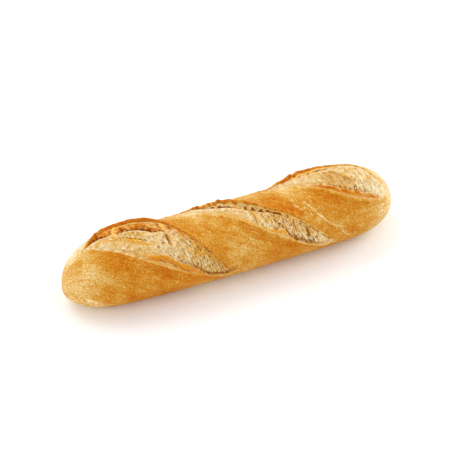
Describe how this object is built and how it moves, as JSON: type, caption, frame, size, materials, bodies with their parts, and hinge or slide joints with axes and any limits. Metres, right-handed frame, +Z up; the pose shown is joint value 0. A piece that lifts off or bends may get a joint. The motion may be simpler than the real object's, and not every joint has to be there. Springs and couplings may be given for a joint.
{
  "type": "baguette",
  "caption": "Half-size baguette loaf with rounded ends, browned crust and slanting scores that opened in the oven to torn pale crumb.",
  "frame": {"origin": "on the surface that the loaf stands on, under the middle of its bounding box", "axes": "+X along the loaf towards its right end as seen from the front, +Y to its back, +Z up"},
  "size_m": [0.27, 0.0608, 0.0593],
  "materials": {
    "crust": "satin, golden brown baked crust, paler at the ends, with pale torn crumb in the scores"
  },
  "bodies": {
    "root": {"loaf": "crust"}
  },
  "joints": []
}
